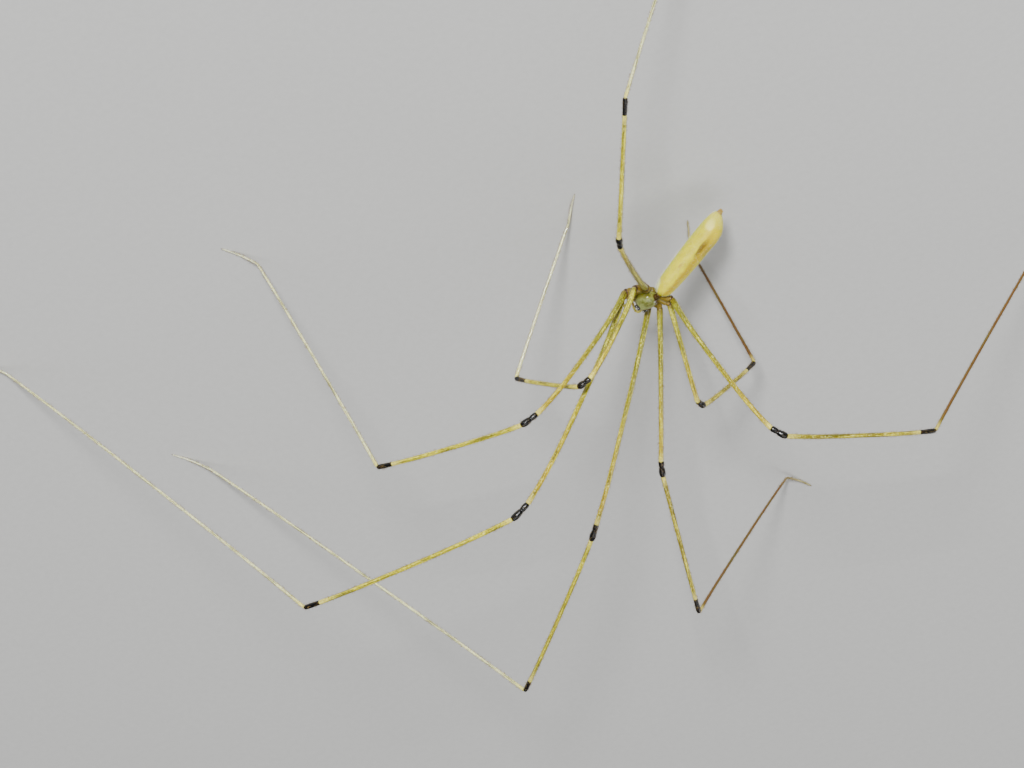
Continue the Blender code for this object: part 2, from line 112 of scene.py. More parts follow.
class Finish:
    """A material in the making: constants go on the shader, and paint() lays colour over colour.

    Glow is the share of light that enters, and how deep red, green and blue go in millimetres.
    """

    def __init__(self, name, glow, constants):
        self.material = bpy.data.materials.new(name)
        self.material.use_nodes = True
        self.tree = self.material.node_tree
        self.shader = self.tree.nodes["Principled BSDF"]
        if glow:
            depths = [depth * MM for depth in glow[1:]]
            constants = {"Subsurface Weight": glow[0], "Subsurface Radius": depths,
                         "Subsurface Scale": 1.0, **constants}
        for socket, value in constants.items():
            self.shader.inputs[socket].default_value = value

    def feed(self, socket, value):
        """Link a reading to a socket, or set the socket to a value."""
        if isinstance(value, Reading):
            self.tree.links.new(value.socket, socket)
        else:
            socket.default_value = value

    def add(self, kind, settings=None, values=None, output=0):
        """Make a node of a kind, with its settings first and then what its sockets are given."""
        made = self.tree.nodes.new(kind)
        for setting, value in (settings or {}).items():
            if setting == "stops":
                for place, shown in value:
                    made.color_ramp.elements.new(place).color = colour(*shown)
                made.color_ramp.elements.remove(made.color_ramp.elements[0])
                made.color_ramp.elements.remove(made.color_ramp.elements[-1])
            else:
                setattr(made, setting, value)
        for socket, value in (values or {}).items():
            self.feed(made.inputs[socket], value)
        return Reading(self, made.outputs[output])

    def mark(self, name):
        """The three numbers of a mark that the mesh carries at its points."""
        vector = self.add("ShaderNodeAttribute", {"attribute_name": name}, output="Vector")
        return [self.add("ShaderNodeSeparateXYZ", None, {0: vector}, output=axis) for axis in range(3)]

    def noise(self, size, detail=2.0, roughness=0.5, marks=()):
        """Noise from 0 to 1 whose lumps are about this many millimetres across, read at the point in
        the part's own frame or at three marks in millimetres."""
        if marks:
            place = self.add("ShaderNodeCombineXYZ", None, dict(enumerate(marks)))
        else:
            place = self.add("ShaderNodeTexCoord", output="Object")
            size = size * MM
        return self.add("ShaderNodeTexNoise", None, {
            "Vector": place, "Scale": 1.0 / size, "Detail": detail, "Roughness": roughness})

    def paint(self, share, first, second=None):
        """One colour going over to another, or what is painted so far going over to one."""
        shades = [colour(*first), colour(*second)] if second else [self.tone, colour(*first)]
        self.tone = self.add("ShaderNodeMix", {"data_type": "RGBA"},
                             {0: share, 6: shades[0], 7: shades[1]}, output=2)

    def mottle(self, cloud, first, second):
        """Two colours in soft patches that follow a noise."""
        self.paint(cloud.rise(0.3, 0.7), first, second)

    def done(self, roughness, relief=None, depth=0.0, coat=None):
        """Feed what changes over the surface, and return the material. Depth is in millimetres."""
        self.feed(self.shader.inputs["Base Color"], self.tone)
        self.feed(self.shader.inputs["Roughness"], roughness)
        if coat is not None:
            self.feed(self.shader.inputs["Coat Weight"], coat)
        if relief is not None:
            bump = self.add("ShaderNodeBump", None,
                            {"Height": relief, "Distance": depth * MM, "Strength": 1.0})
            self.feed(self.shader.inputs["Normal"], bump)
        return self.material


def colour(red, green, blue):
    """A colour given as it shows on a screen, from 0 to 255, as the shader's linear values."""
    share = np.array([red, green, blue]) / 255
    linear = np.where(share <= 0.04045, share / 12.92, ((share + 0.055) / 1.055) ** 2.4)
    return (*linear.tolist(), 1.0)


def circle(sides):
    """Angles once round in equal steps."""
    return np.linspace(0.0, math.tau, sides, endpoint=False)


def grid(x, y, z):
    """Rings of points from their three numbers, each spread over the rings where it is one row or
    one column."""
    return np.stack(np.broadcast_arrays(x, y, z), axis=2)


def unit(vectors):
    """Vectors shortened to one."""
    return vectors / np.linalg.norm(vectors, axis=-1, keepdims=True)


def bell(value, middle, width):
    """A smooth bump of height 1."""
    return np.exp(-((value - middle) / width) ** 2)


def marked(rings, *marks):
    """Rings whose points carry three more numbers for each mark."""
    return np.concatenate([rings, *[np.broadcast_to(mark, rings.shape) for mark in marks]], axis=2)


def skins(*parts):
    """Points and faces of closed skins: quads between rings, and a fan to the middle of each end."""
    points, quads, fans, used = [], [], [], 0
    for rings in parts:
        count, sides, columns = rings.shape
        points += [rings.reshape(-1, columns), rings[:1].mean(axis=1), rings[-1:].mean(axis=1)]
        here = used + np.arange(count * sides).reshape(count, sides)
        beside = np.roll(here, -1, axis=1)
        quads.append(np.stack([here[:-1], beside[:-1], beside[1:], here[1:]], axis=2).reshape(-1, 4))
        used += count * sides + 2
        poles = np.full((2, sides), [[used - 2], [used - 1]])
        fans += [np.stack([beside[0], here[0], poles[0]], axis=1),
                 np.stack([here[-1], beside[-1], poles[1]], axis=1)]
    return np.concatenate(points), [np.concatenate(quads), np.concatenate(fans)]


def set_out(name, data):
    """A new object of the scene."""
    made = bpy.data.objects.new(name, data)
    scene.collection.objects.link(made)
    return made


def made_piece(name, points, blocks, finish, slot, stands_for=()):
    """A piece from points in millimetres and blocks of faces, wound so that its volume is positive.

    After its place a point may carry three numbers of the mark "place", and then three of "streak".
    """
    places = points[:, :3]
    centred = places - places.mean(axis=0)
    volume = sum(np.sum(centred[block[:, 0]] * np.cross(centred[block[:, k]], centred[block[:, k + 1]]))
                 for block in blocks for k in range(1, block.shape[1] - 1))
    faces = [face for block in blocks for face in (block if volume > 0 else block[:, ::-1]).tolist()]
    mesh = bpy.data.meshes.new(name)
    mesh.from_pydata((places * MM).tolist(), [], faces)
    mesh.shade_smooth()
    for column, mark in zip(range(3, points.shape[1], 3), ("place", "streak")):
        layer = mesh.attributes.new(mark, "FLOAT_VECTOR", "POINT")
        layer.data.foreach_set("vector", points[:, column:column + 3].astype(np.float32).ravel())
    mesh.materials.append(finish)
    made = set_out(name, mesh)
    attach(made, "root")
    if stands_for:
        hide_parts(*stands_for)
    return made


def body_place(points):
    """Points in millimetres from the middle of the front body, turned into the stance."""
    return np.asarray(points) @ BODY_TURN.T + BODY_MIDDLE


def body_piece(name, parts, finish, slot, stands_for=()):
    """A piece of closed skins whose rings are in the axes of the front body."""
    points, blocks = skins(*parts)
    points[:, :3] = body_place(points[:, :3])
    made_piece(name, points, blocks, finish, slot, stands_for)


def carapace_top(x, y):
    """Height of the dome with the raised head, furrowed between head and thorax and round a pit."""
    across = (x - CARAPACE_FORWARD) / CARAPACE_HALF[0]
    away = np.minimum(np.hypot(across, y / CARAPACE_HALF[1]), 1.0)
    dome = CARAPACE_DOME * np.sqrt(np.maximum(1.0 - away ** 2.6, 0.0))
    head = bell(x, HEAD_FORWARD, HEAD_WIDTH) * bell(y, 0.0, 1.15 * HEAD_WIDTH)
    furrow = bell(np.abs(y) - 0.34 * (x + 0.10), 0.0, 0.06) * bell(x, 0.12, 0.24)
    pit = bell(x, -0.14, 0.11) * bell(y, 0.0, 0.05)
    rays = (0.5 + 0.5 * np.cos(6 * np.arctan2(y, x + 0.10))) ** 3 * bell(away, 0.62, 0.22)
    relief = HEAD_RISE * head - FURROW_DEPTH * furrow - PIT_DEPTH * pit - RAY_DEPTH * rays
    return CARAPACE_RIM + dome + (1.0 - away ** 4) * relief


def carapace_rings(rows=36, sides=96):
    """Rings from the crown out over the dome, down its skirt, round the rolled rim and in again."""
    turn = circle(sides)
    down = np.linspace(0.0, 1.0, 6)[1:]
    roll = np.linspace(0.0, math.pi, 7)[1:]
    shares = np.concatenate([np.sin(np.linspace(0.03, math.pi / 2, rows)), 1.0 + 0.012 * np.sin(down * 2.2),
                             1.0 + RIM_ROLL * np.sin(roll), (0.9, 0.7, 0.3)])
    x = CARAPACE_FORWARD + CARAPACE_HALF[0] * np.outer(shares, np.cos(turn))
    y = CARAPACE_HALF[1] * np.outer(shares, np.sin(turn))
    drop = np.concatenate([CARAPACE_SKIRT * down, CARAPACE_SKIRT + RIM_ROLL * (1.0 - np.cos(roll)),
                           np.full(3, 0.6 * CARAPACE_SKIRT)])
    under = np.repeat(CARAPACE_RIM - drop[:, None], sides, axis=1)
    rings = grid(x, y, np.concatenate([carapace_top(x[:rows], y[:rows]), under]))
    return marked(rings, (rings - (CARAPACE_FORWARD, 0.0, 0.0)) / (*CARAPACE_HALF, CARAPACE_MARK_HEIGHT))


def shell_finish():
    """See-through grey-green cuticle, olive at the rim, with a brown margin on the left."""
    finish = Finish("carapace cuticle", (0.6, 0.30, 0.28, 0.14), {
        "Specular IOR Level": 0.3, "Coat Roughness": 0.05, "Coat Weight": 0.55})
    forward, sideways, height = finish.mark("place")
    cloud = finish.noise(0.22)
    grain = finish.noise(0.012)
    finish.mottle(cloud, (96, 102, 40), (142, 150, 88))
    finish.paint(height.rise(0.6, 0.1) * 0.7, (112, 108, 16))
    middle = abs(sideways).rise(0.16, 0.04) * forward.rise(0.2, -0.1)
    finish.paint(middle * 0.4, (88, 84, 26))
    lean = sideways * 1.05 - forward * 0.30
    margin = (height + cloud * 0.20 - lean).rise(0.34, 0.18) * lean.rise(0.05, 0.25)
    finish.paint(margin * 0.95, (56, 26, 4))
    return finish.done(grain * 0.08 + 0.12, grain * 0.4 + cloud, 0.003)


body_piece("carapace_plate", [carapace_rings()], shell_finish(), "carapace", ["carapace"])

# Soft wall and sternum: a pleated skin closes the sides of the front body between the carapace
# and the plate underneath, and the eight coxae come out through it. The plate is stiff, shallow
# and shaped like a shield, with a small lip and two jaw lobes in front of it.
STERNUM_HALF = (0.58, 0.53)
STERNUM_THICKNESS = 0.44
STERNUM_DROP = 0.38
COXA_HUB_DROP = 0.45
WALL_HEIGHTS = (0.06, 0.00, -0.06, -0.12, -0.18, -0.24, -0.30, -0.36, -0.42, -0.47, -0.50)
WALL_HALF_LENGTHS = (0.50, 0.62, 0.675, 0.678, 0.67, 0.65, 0.62, 0.585, 0.545, 0.50, 0.35)
WALL_HALF_WIDTHS = (0.46, 0.545, 0.595, 0.598, 0.592, 0.575, 0.55, 0.525, 0.49, 0.46, 0.33)
WALL_FORWARD = 0.08
# The middle and the half sizes of the lip and of each lobe
LOBES = (((0.60, 0.0, -0.46), (0.12, 0.10, 0.06)), ((0.68, 0.15, -0.42), (0.15, 0.09, 0.07)),
         ((0.68, -0.15, -0.42), (0.15, 0.09, 0.07)))


def wall_rings(sides=72):
    """Ovals stacked from inside the carapace down to the sternum, bulging between and pleated."""
    turn = circle(sides)
    depth = np.linspace(0.0, 1.0, 26)[:, None]
    rows = np.linspace(0.0, 1.0, len(WALL_HEIGHTS))
    heights, long, wide = (np.interp(depth, rows, values)
                           for values in (WALL_HEIGHTS, WALL_HALF_LENGTHS, WALL_HALF_WIDTHS))
    pleats = 1.0 + 0.008 * np.cos(16 * turn) * np.sin(math.pi * depth)
    front = bell(turn, 0.0, 0.5) + bell(turn, math.tau, 0.5)
    face = 1.0 + 0.08 * front * bell(heights, -0.10, 0.14)
    x = WALL_FORWARD * (1.0 - depth ** 2) + long * np.cos(turn) * pleats * face
    rings = grid(x, wide * np.sin(turn) * pleats, heights)
    return marked(rings, rings)


def sternum_rings(sides=72):
    """A shield between two shallow domes, notched a little where each coxa stands against it."""
    turn = circle(sides)
    notch = 1.0 - 0.035 * np.cos(8 * turn + 0.4)
    blunt = 1.0 + 0.05 * np.cos(2 * turn) - 0.06 * np.cos(3 * turn)
    over = np.sin(np.linspace(0.04, math.pi / 2, 16))[:, None]
    thick = STERNUM_THICKNESS / 2 * (0.4 + 0.6 * np.sqrt(1.0 - over ** 2))
    x = STERNUM_HALF[0] * (over * (np.cos(turn) * notch * blunt))
    y = STERNUM_HALF[1] * (over * (np.sin(turn) * notch))
    rings = np.concatenate([grid(x, y, thick - STERNUM_DROP), grid(x, y, -STERNUM_DROP - thick)[::-1]])
    return marked(rings, rings / (*STERNUM_HALF, 1.0))


def blob(middle, half, sides=20, rows=12):
    """A ball stretched by its half sizes, with its poles along the body."""
    around = circle(sides)
    over = np.linspace(0.12, math.pi - 0.12, rows)[:, None]
    ball = grid(-np.cos(over), np.sin(over) * np.cos(around), np.sin(over) * np.sin(around))
    rings = ball * half + middle
    return marked(rings, rings * (0.8, 1.0, 1.0))


def soft_finish():
    """Skin like the carapace where it meets it, going over to brown round the coxae."""
    finish = Finish("soft wall", (0.6, 0.30, 0.28, 0.14), {"Coat Weight": 0.6, "Coat Roughness": 0.06})
    height = finish.mark("place")[2]
    cloud = finish.noise(0.2)
    pleat = finish.noise(0.05, 3.0)
    finish.mottle(cloud, (112, 118, 40), (148, 154, 76))
    finish.paint((height + pleat * 0.08).rise(-0.08, -0.26), (104, 84, 12))
    return finish.done(pleat * 0.1 + 0.14, pleat, 0.002)


def plate_finish():
    """Olive amber cuticle, darker toward its edge."""
    finish = Finish("sternum cuticle", (0.4, 0.12, 0.10, 0.06), {"Coat Weight": 0.3, "Coat Roughness": 0.12})
    forward, sideways = finish.mark("place")[:2]
    away = (forward * forward + sideways * sideways) ** 0.5
    cloud = finish.noise(0.12, 3.0)
    grain = finish.noise(0.014)
    finish.mottle(cloud, (140, 126, 24), (168, 154, 50))
    finish.paint((away + cloud * 0.2).rise(0.75, 1.1), (98, 84, 14))
    return finish.done(grain * 0.15 + 0.25, grain, 0.006)


plate = plate_finish()
body_piece("soft_wall", [wall_rings()], soft_finish(), "sternum")
body_piece("sternum_plate", [sternum_rings()], plate, "sternum", ["sternum"])
body_piece("mouth_lobes", [blob(*lobe) for lobe in LOBES], plate, "mouthparts")

# Eyes: a cluster of three lenses on a raised black seat on each side of the head, and a pair of
# small ones between them. Each lens is a clear dome of cuticle over dark pigment, grown into the
# carapace.
SIDES = (("left", 1), ("right", -1))
CLUSTER_SIDE = 0.25
CLUSTER_FORWARD = 0.46
CLUSTER_TURNS = (10, 130, 250)
SEAT_RADII = (0.115, 0.140)
SEAT_RISE = 0.07
SEAT_DEPTH = 0.05
EYE_SPACING = 0.088
EYE_RADIUS = 0.084
MIDDLE_EYES_FORWARD = 0.655
MIDDLE_EYE_SIDE = 0.04
MIDDLE_EYE_RADIUS = 0.032
MIDDLE_SEAT_RADII = (0.028, 0.080)
MIDDLE_SEAT_RISE = 0.03


def seat_rings(centre, radii, rise, sides=40):
    """A low black mound that rises from inside the carapace and follows its slope."""
    turn = circle(sides)
    over = np.sin(np.linspace(0.05, math.pi / 2, 12))[:, None]
    x = centre[0] + radii[0] * (over * np.cos(turn))
    y = centre[1] + radii[1] * (over * np.sin(turn))
    ground = carapace_top(x, y)
    top = grid(x, y, ground + rise * np.sqrt(1.0 - over ** 2) - 0.004)
    return np.concatenate([top, grid(x, y, ground - SEAT_DEPTH)[::-1]])


def carapace_upward(x, y, step):
    """The direction square to the carapace, from its heights a step to each side."""
    slope_x = (carapace_top(x + step, y) - carapace_top(x - step, y)) / (2 * step)
    slope_y = (carapace_top(x, y + step) - carapace_top(x, y - step)) / (2 * step)
    return unit(np.stack([-slope_x, -slope_y, np.ones_like(slope_x)], axis=-1))


def lens(centre, radius, seat, sides=24, rows=14):
    """A dome set in the seat, its axis square to the carapace where it stands."""
    upward = carapace_upward(*centre, step=0.02)
    sideways = unit(np.cross(upward, (1.0, 0.0, 0.0)))
    onward = np.cross(sideways, upward)
    base = np.array([*centre, carapace_top(*centre)]) + seat * upward
    around = circle(sides)
    over = np.linspace(0.08, math.pi - 0.08, rows)[:, None]
    dome = grid(np.sin(over) * np.cos(around), np.sin(over) * np.sin(around), 0.9 * np.cos(over))
    return base + radius * dome @ np.array([onward, sideways, upward])


def pigment_finish():
    """Matt black pigment, brown where it thins out."""
    finish = Finish("eye pigment", None, {"Coat Weight": 0.5, "Coat Roughness": 0.2})
    grain = finish.noise(0.02, 3.0)
    finish.paint(grain.rise(0.45, 0.8), (8, 6, 4), (34, 18, 6))
    return finish.done(grain * 0.2 + 0.35, grain, 0.005)


def lens_finish():
    """A clear, wet-looking lens over near-black, with a trace of pearl in patches."""
    finish = Finish("eye lens", None, {"IOR": 1.55, "Coat Weight": 1.0, "Coat Roughness": 0.02})
    grain = finish.noise(0.03)
    finish.paint(grain.rise(0.4, 0.75), (6, 5, 5), (24, 20, 18))
    return finish.done(grain * 0.04 + 0.04)


def eye_group(name, seat, radii, rise, spots, radius):
    """A black seat in place of the group's solid, and the lenses on it."""
    body_piece(f"eye_seat_{name}", [seat_rings(seat, radii, rise)], pigment, "eye", [f"eyes_{name}"])
    body_piece(f"eye_lenses_{name}", [lens(spot, radius, rise) for spot in spots], glass, "eye")


pigment, glass = pigment_finish(), lens_finish()
for side_name, side in SIDES:
    spots = [(CLUSTER_FORWARD + EYE_SPACING * math.cos(turn),
              side * (CLUSTER_SIDE + EYE_SPACING * math.sin(turn)))
             for turn in map(math.radians, CLUSTER_TURNS)]
    eye_group(side_name, (CLUSTER_FORWARD, side * CLUSTER_SIDE), SEAT_RADII, SEAT_RISE, spots, EYE_RADIUS)
spots = [(MIDDLE_EYES_FORWARD, side * MIDDLE_EYE_SIDE) for side in (-1, 1)]
eye_group("middle", (MIDDLE_EYES_FORWARD, 0.0), MIDDLE_SEAT_RADII, MIDDLE_SEAT_RISE, spots, MIDDLE_EYE_RADIUS)

# Jaws and palps: two short jaws hang below the face, each ending in a small dark fang, and a palp
# of five jointed pieces stands beside each. They are amber tubes of cuticle, hinged by soft skin.
JAW = ((0.70, 0.150, -0.02), (0.78, 0.160, -0.12), (0.86, 0.165, -0.24), (0.94, 0.15, -0.37),
       (1.00, 0.125, -0.49), (1.035, 0.10, -0.57))
JAW_RADII = (0.10, 0.135, 0.14, 0.125, 0.09, 0.045)
FANG = ((1.03, 0.10, -0.555), (1.055, 0.085, -0.60), (1.05, 0.055, -0.63), (1.03, 0.03, -0.635))
FANG_RADII = (0.026, 0.020, 0.012, 0.004)
PALP = ((0.66, 0.40, -0.06), (0.78, 0.44, 0.00), (0.88, 0.46, 0.07), (1.03, 0.52, 0.17), (1.22, 0.53, 0.22),
        (1.40, 0.49, 0.16), (1.50, 0.43, -0.02), (1.54, 0.37, -0.24), (1.54, 0.33, -0.40))
PALP_STATIONS = (0.0, 0.15, 0.20, 0.28, 0.52, 0.545, 0.62, 0.645, 0.78, 0.80, 0.93, 1.0)
PALP_RADII = (0.11, 0.12, 0.08, 0.095, 0.085, 0.065, 0.09, 0.065, 0.085, 0.065, 0.07, 0.03)


def steps(points):
    """The distance from each point to the one before it, and 0 for the first."""
    return np.concatenate([[0.0], np.linalg.norm(np.diff(points, axis=0), axis=1)])


def smooth(stations, values, at):
    """Rows of values on a curve that keeps its slope on both sides of each station.

    Between two stations it is the cubic that has their values and slopes.
    """
    stations, values = np.asarray(stations), np.asarray(values)
    slope = np.gradient(values, stations, axis=0)
    k = np.clip(np.searchsorted(stations, at, side="right") - 1, 0, len(stations) - 2)
    gap = (stations[k + 1] - stations[k])[:, None]
    t = (at - stations[k])[:, None] / gap
    return ((2 * t ** 3 - 3 * t ** 2 + 1) * values[k] + (t ** 3 - 2 * t ** 2 + t) * gap * slope[k]
            + (3 * t ** 2 - 2 * t ** 3) * values[k + 1] + (t ** 3 - t ** 2) * gap * slope[k + 1])


def tube(path, radii, sides, normal):
    """Rings round a path, with the side directions kept beside one fixed normal."""
    onward = unit(np.gradient(path, axis=0))
    across = unit(normal - onward * (onward @ normal)[:, None])
    up = np.cross(across, onward)
    turn = circle(sides)[:, None]
    return path[:, None] + np.reshape(radii, (-1, 1, 1)) * (
        across[:, None] * np.cos(turn) + up[:, None] * np.sin(turn))


def limb(points, radii, count, sides, stations=None):
    """A closed tube along a smooth curve, rounded at both ends and marked with the share along it."""
    shares = np.linspace(0.0, 1.0, count)
    places = np.linspace(0.0, 1.0, len(radii)) if stations is None else stations
    ends = np.minimum(np.minimum(shares, 1.0 - shares) * count / 4, 1.0)
    width = np.interp(shares, places, radii) * np.sqrt(0.08 + 0.92 * ends * (2 - ends))
    run = np.cumsum(steps(points))
    rings = tube(smooth(run, points, shares * run[-1]), width, sides, (0.0, 1.0, 0.05))
    return marked(rings, shares[:, None, None] * (1.0, 0.0, 0.0))


def amber_finish(name, first, second, tip):
    """Glossy amber cuticle that darkens toward the tip of the piece."""
    finish = Finish(name, (0.4, 0.12, 0.10, 0.06), {"Coat Weight": 0.4, "Coat Roughness": 0.12})
    along = finish.mark("place")[0]
    cloud = finish.noise(0.09, 3.0)
    grain = finish.noise(0.012)
    finish.mottle(cloud, first, second)
    finish.paint((along + cloud * 0.15).rise(0.75, 1.1), tip)
    return finish.done(grain * 0.15 + 0.22, grain, 0.006)


jaw_amber = amber_finish("jaw cuticle", (128, 100, 18), (168, 138, 34), (80, 46, 8))
palp_amber = amber_finish("palp cuticle", (184, 170, 52), (210, 200, 96), (140, 112, 30))
fang_dark = amber_finish("fang", (52, 22, 8), (84, 40, 14), (18, 8, 4))
for side_name, side in SIDES:
    # After its points a limb has its radii, rings and sides, and where its radii don't lie evenly
    for name, finish, solids, points, *shape in (
            ("jaw", jaw_amber, ["chelicera"], JAW, JAW_RADII, 28, 24),
            ("fang", fang_dark, [], FANG, FANG_RADII, 14, 12),
            ("palp_skin", palp_amber, ["palp"], PALP, PALP_RADII, 90, 20, PALP_STATIONS)):
        rings = limb(np.array(points) * (1.0, side, 1.0), *shape)
        body_piece(f"{name}_{side_name}", [rings], finish, "mouthparts",
                   [f"{solid}_{side_name}" for solid in solids])

# Waist and abdomen: one soft skin from the narrow stalk behind the carapace to the tail. It is thin
# and stretched, so the yellow fat and the brown gut show through it. A small brown plate and two
# pale lung covers lie under its front.
ABDOMEN_LENGTH = 5.50
ABDOMEN_START = np.array([-0.87, -0.10, 0.21])
ABDOMEN_HEADING = 182.0
ABDOMEN_PITCH = -29.6
ABDOMEN_SHARES = (0.0, 0.02, 0.06, 0.12, 0.25, 0.43, 0.62, 0.80, 0.86, 0.92, 0.97, 1.0)
ABDOMEN_BACK = (0.14, 0.32, 0.46, 0.52, 0.58, 0.63, 0.65, 0.66, 0.60, 0.37, 0.08, -0.12)
ABDOMEN_BELLY = (-0.20, -0.33, -0.45, -0.51, -0.57, -0.62, -0.65, -0.66, -0.66, -0.65, -0.62, -0.56)
ABDOMEN_SIDE = (0.17, 0.32, 0.46, 0.53, 0.59, 0.64, 0.66, 0.65, 0.61, 0.50, 0.34, 0.22)
ABDOMEN_SIDES = 72
ABDOMEN_ROWS = 110
PLATE_RISE = 0.03
GROOVE_DEPTH = 0.016
FOLD_DEPTH = 0.0025
WAIST_START = (-0.52, 0.0, 0.02)
WAIST_RADIUS = 0.125
WAIST_ROWS = 15


def heading(degrees, rise=0.0):
    """The unit vector at a heading from +X toward +Y and a rise above level, in degrees."""
    h, r = math.radians(degrees), math.radians(rise)
    return np.array([math.cos(h) * math.cos(r), math.sin(h) * math.cos(r), math.sin(r)])


abdomen_along = heading(ABDOMEN_HEADING, ABDOMEN_PITCH)
abdomen_across = unit(np.cross((0.0, 0.0, 1.0), abdomen_along))
abdomen_up = np.cross(abdomen_along, abdomen_across)
abdomen_axes = np.array([abdomen_along, abdomen_across, abdomen_up])
abdomen_start = BODY_MIDDLE + ABDOMEN_START


def abdomen_rings():
    """Rings between the back, the belly and the sides, raised at the plate and lowered in a groove
    and folds, after those of the waist, whose path is a cubic from the carapace to the abdomen.

    The mark is the share of the length, the share of the way from the back round to the belly, and
    the side.
    """
    turn = circle(ABDOMEN_SIDES)
    share = (1.0 - np.cos(np.linspace(0.0, math.pi, ABDOMEN_ROWS))) / 2
    profile = smooth(ABDOMEN_SHARES, np.transpose([ABDOMEN_BACK, ABDOMEN_BELLY, ABDOMEN_SIDE]), share)
    back, belly, side = profile.T[:, :, None]
    share = share[:, None]
    rings = grid(ABDOMEN_LENGTH * share, side * np.cos(turn),
                 (back + belly) / 2 + (back - belly) / 2 * np.sin(turn)) @ abdomen_axes + abdomen_start
    outward = unit(rings - rings.mean(axis=1, keepdims=True))
    under = 1.5 * math.pi
    plate_rise = PLATE_RISE * bell(share, 0.105, 0.028) * bell(turn, under, 0.42)
    groove = GROOVE_DEPTH * bell(share, 0.150, 0.006) * bell(turn, under, 0.8)
    folds = np.sin(share * 150 + 1.5 * np.sin(3 * turn)) * (0.3 + 0.7 * bell(share, 0.0, 0.15))
    rings = rings + outward * (plate_rise - groove + FOLD_DEPTH * folds)[:, :, None]
    start, end = body_place(WAIST_START), rings[0].mean(axis=0)
    reach = np.linalg.norm(end - start) / 3
    t = np.linspace(0.0, 1.0, WAIST_ROWS + 1)[:-1, None]
    path = ((1 - t) ** 3 * start + 3 * (1 - t) ** 2 * t * (start - reach * BODY_TURN[:, 0])
            + 3 * (1 - t) * t ** 2 * (end - reach * abdomen_along) + t ** 3 * end)
    width = WAIST_RADIUS * (1.0 + 0.12 * np.cos(t * 16))
    waist = tube(path[::-1], width[::-1], ABDOMEN_SIDES, abdomen_across)[::-1]
    around = np.abs(np.mod(turn + math.pi / 2, math.tau) - math.pi) / math.pi
    shares = np.concatenate([(t - 1.0) * 0.05, share])
    return marked(np.concatenate([waist, rings]), grid(shares, around, np.cos(turn)))


def abdomen_finish():
    """Fat yellow over the flanks, an amber band down the back, a brown patch, a pale tail and a painted
    highlight near the tail.
    """
    finish = Finish("abdomen skin", (0.6, 0.35, 0.28, 0.10), {"Specular IOR Level": 0.25})
    share, around, sideways = finish.mark("place")
    cloud = finish.noise(0.35, 3.0)
    fine = finish.noise(0.07, 4.0, 0.6)
    grain = finish.noise(0.016)
    wobble = (cloud - 0.5) * 0.10
    finish.mottle(cloud, (192, 182, 0), (212, 204, 16))
    finish.paint((around + wobble).rise(0.45, 0.75) * 0.85, (192, 210, 58))
    fat = fine.rise(0.52, 0.62) * around.rise(0.15, 0.35)
    finish.paint(fat * 0.35, (230, 224, 70))
    band = ((around + wobble * 0.6).rise(0.135, 0.05) * share.rise(0.005, 0.04)
            * (share + wobble).rise(0.84, 0.72))
    finish.paint(band * 0.8, (164, 136, 0))
    patch = (((around - 0.115 + wobble * 0.5) * 13.0).spot((share + wobble * 0.4 - 0.665) * 5.4)
             * (sideways.rise(-0.1, 0.1) * 0.6 + 0.4))
    finish.paint(patch * 0.9, (112, 84, 6))
    gut = ((around - 0.27 + wobble * 0.3) * 18.0).spot((share - 0.36 + wobble * 0.2) * 28.0)
    finish.paint(gut * 0.5, (160, 120, 10))
    gold = (around + wobble).rise(0.42, 0.12) * abs(share - 0.80).rise(0.16, 0.03)
    finish.paint(gold * 0.7, (206, 184, 0))
    # A soft cream spot near the tail is a painted highlight.
    painted_tail_highlight = ((around - 0.34 + wobble) * 6.0).spot((share - 0.87 + wobble * 0.3) * 12.0)
    finish.paint(painted_tail_highlight * 0.6, (244, 240, 150))
    tail = (share + wobble * 0.3).rise(0.84, 0.96)
    finish.paint(tail * 0.75, (222, 216, 84))
    tip = (share + wobble * 0.1).rise(0.985, 1.0)
    finish.paint(tip * 0.4, (168, 148, 52))
    lungs = ((around - 0.68 + wobble * 0.3) * 3.4).spot((share - 0.050) * 10.0)
    finish.paint(lungs * 0.85, (222, 232, 186))
    epigynum = ((around - 1.0) * 8.0).spot((share - 0.108 + fine * 0.004) * 32.0)
    finish.paint(epigynum * 0.85, (104, 76, 18))
    waist = share.rise(0.008, -0.008)
    finish.paint(waist, (62, 42, 2))
    return finish.done(grain * 0.16 + 0.36, cloud * 0.8 + fine * 0.5 + grain * 0.25, 0.02)


abdomen = abdomen_rings()
made_piece("abdomen_skin", *skins(abdomen), abdomen_finish(), "abdomen", ["abdomen", "pedicel"])

# Spinnerets: three pairs of small blunt cones on a ring of soft skin under the tail, the front
# pair the thickest. They are grown in one piece with the tail and end in bare tips.
TAIL_RUN = (-0.06, 0.0, 0.05, 0.10, 0.13)
TAIL_RADII = (0.14, 0.165, 0.165, 0.14, 0.07)
CONE_FOOT = 0.06
CONE_RUN = np.array([0.0, 0.25, 0.5, 0.55, 0.6, 0.8, 0.92, 1.0])
CONE_WIDTHS = np.array([1.0, 1.02, 0.96, 0.84, 0.88, 0.74, 0.55, 0.22])
# The height of each pair on the ring, the distance of each from the middle, radius and length
SPINNERETS = ((-0.09, 0.068, 0.050, 0.22), (0.00, 0.050, 0.030, 0.16), (0.075, 0.062, 0.042, 0.20))


